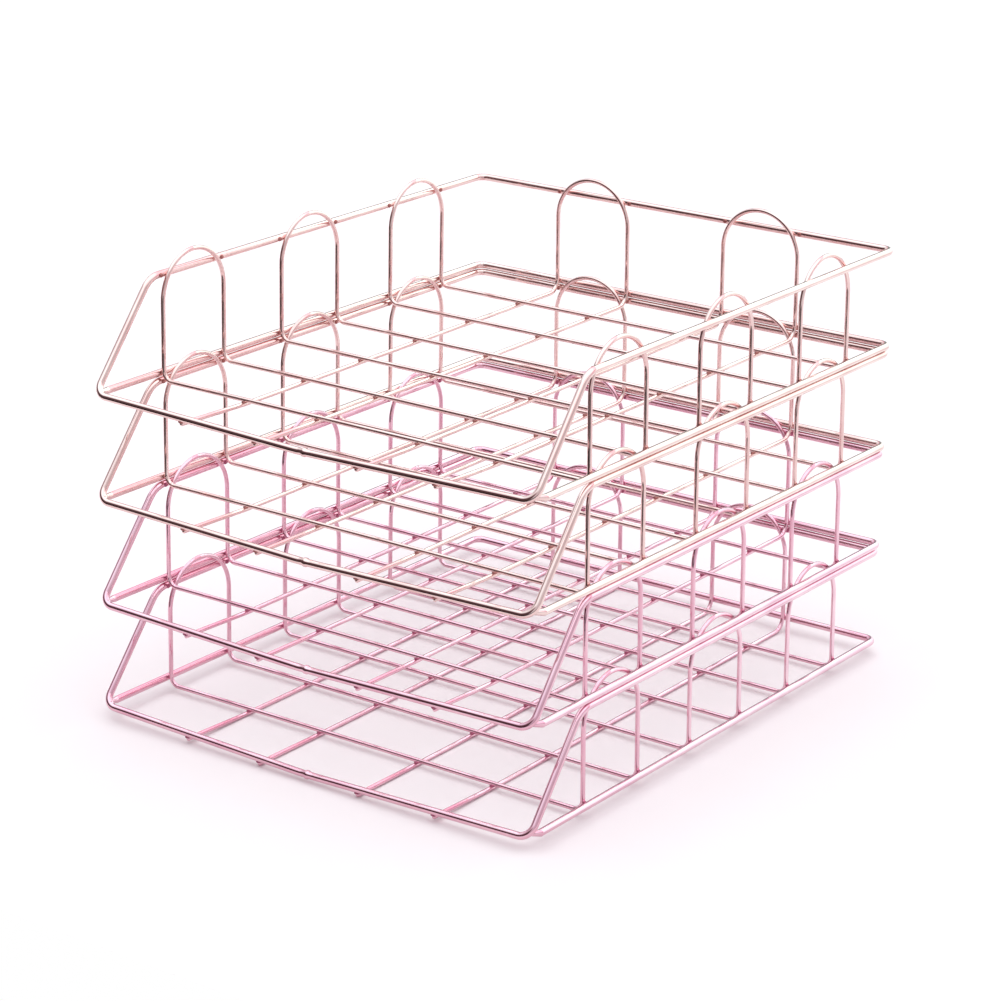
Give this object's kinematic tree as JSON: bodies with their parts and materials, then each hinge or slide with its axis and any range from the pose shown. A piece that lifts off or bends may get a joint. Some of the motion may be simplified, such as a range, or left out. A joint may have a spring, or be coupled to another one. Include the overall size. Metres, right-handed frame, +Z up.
{
  "type": "stackable wire document tray",
  "caption": "Stack of open-front wire letter trays with leaning front posts, open wire floors and arches that locate the tray above.",
  "frame": {"origin": "on the desk, under the middle of the stack", "axes": "+Z up, front towards -Y, X from left to right"},
  "size_m": [0.2536, 0.3035, 0.22],
  "materials": {
    "rose_gold_plating": "bright rose-gold electroplate on steel wire",
    "pink_plating": "bright pink electroplate on steel wire"
  },
  "bodies": {
    "bottom_tray": {"bottom_tray_frame_loop": "pink_plating", "bottom_tray_base_rail": "pink_plating", "bottom_tray_cross_loop_front": "pink_plating", "bottom_tray_cross_loop_middle": "pink_plating", "bottom_tray_cross_loop_rear": "pink_plating", "bottom_tray_back_hairpin_left": "pink_plating", "bottom_tray_back_hairpin_right": "pink_plating"},
    "lower_tray": {"lower_tray_frame_loop": "pink_plating", "lower_tray_base_rail": "pink_plating", "lower_tray_cross_loop_front": "pink_plating", "lower_tray_cross_loop_middle": "pink_plating", "lower_tray_cross_loop_rear": "pink_plating", "lower_tray_back_hairpin_left": "pink_plating", "lower_tray_back_hairpin_right": "pink_plating"},
    "upper_tray": {"upper_tray_frame_loop": "rose_gold_plating", "upper_tray_base_rail": "rose_gold_plating", "upper_tray_cross_loop_front": "rose_gold_plating", "upper_tray_cross_loop_middle": "rose_gold_plating", "upper_tray_cross_loop_rear": "rose_gold_plating", "upper_tray_back_hairpin_left": "rose_gold_plating", "upper_tray_back_hairpin_right": "rose_gold_plating"},
    "top_tray": {"top_tray_frame_loop": "rose_gold_plating", "top_tray_base_rail": "rose_gold_plating", "top_tray_cross_loop_front": "rose_gold_plating", "top_tray_cross_loop_middle": "rose_gold_plating", "top_tray_cross_loop_rear": "rose_gold_plating", "top_tray_back_hairpin_left": "rose_gold_plating", "top_tray_back_hairpin_right": "rose_gold_plating"}
  },
  "joints": [
    {"name": "lower_tray_lift", "type": "slide", "parent": "bottom_tray", "child": "lower_tray", "axis": [0, 0, 1], "range_m": [0, 0.03]},
    {"name": "upper_tray_lift", "type": "slide", "parent": "lower_tray", "child": "upper_tray", "axis": [0, 0, 1], "range_m": [0, 0.03]},
    {"name": "top_tray_lift", "type": "slide", "parent": "upper_tray", "child": "top_tray", "axis": [0, 0, 1], "range_m": [0, 0.03]}
  ]
}
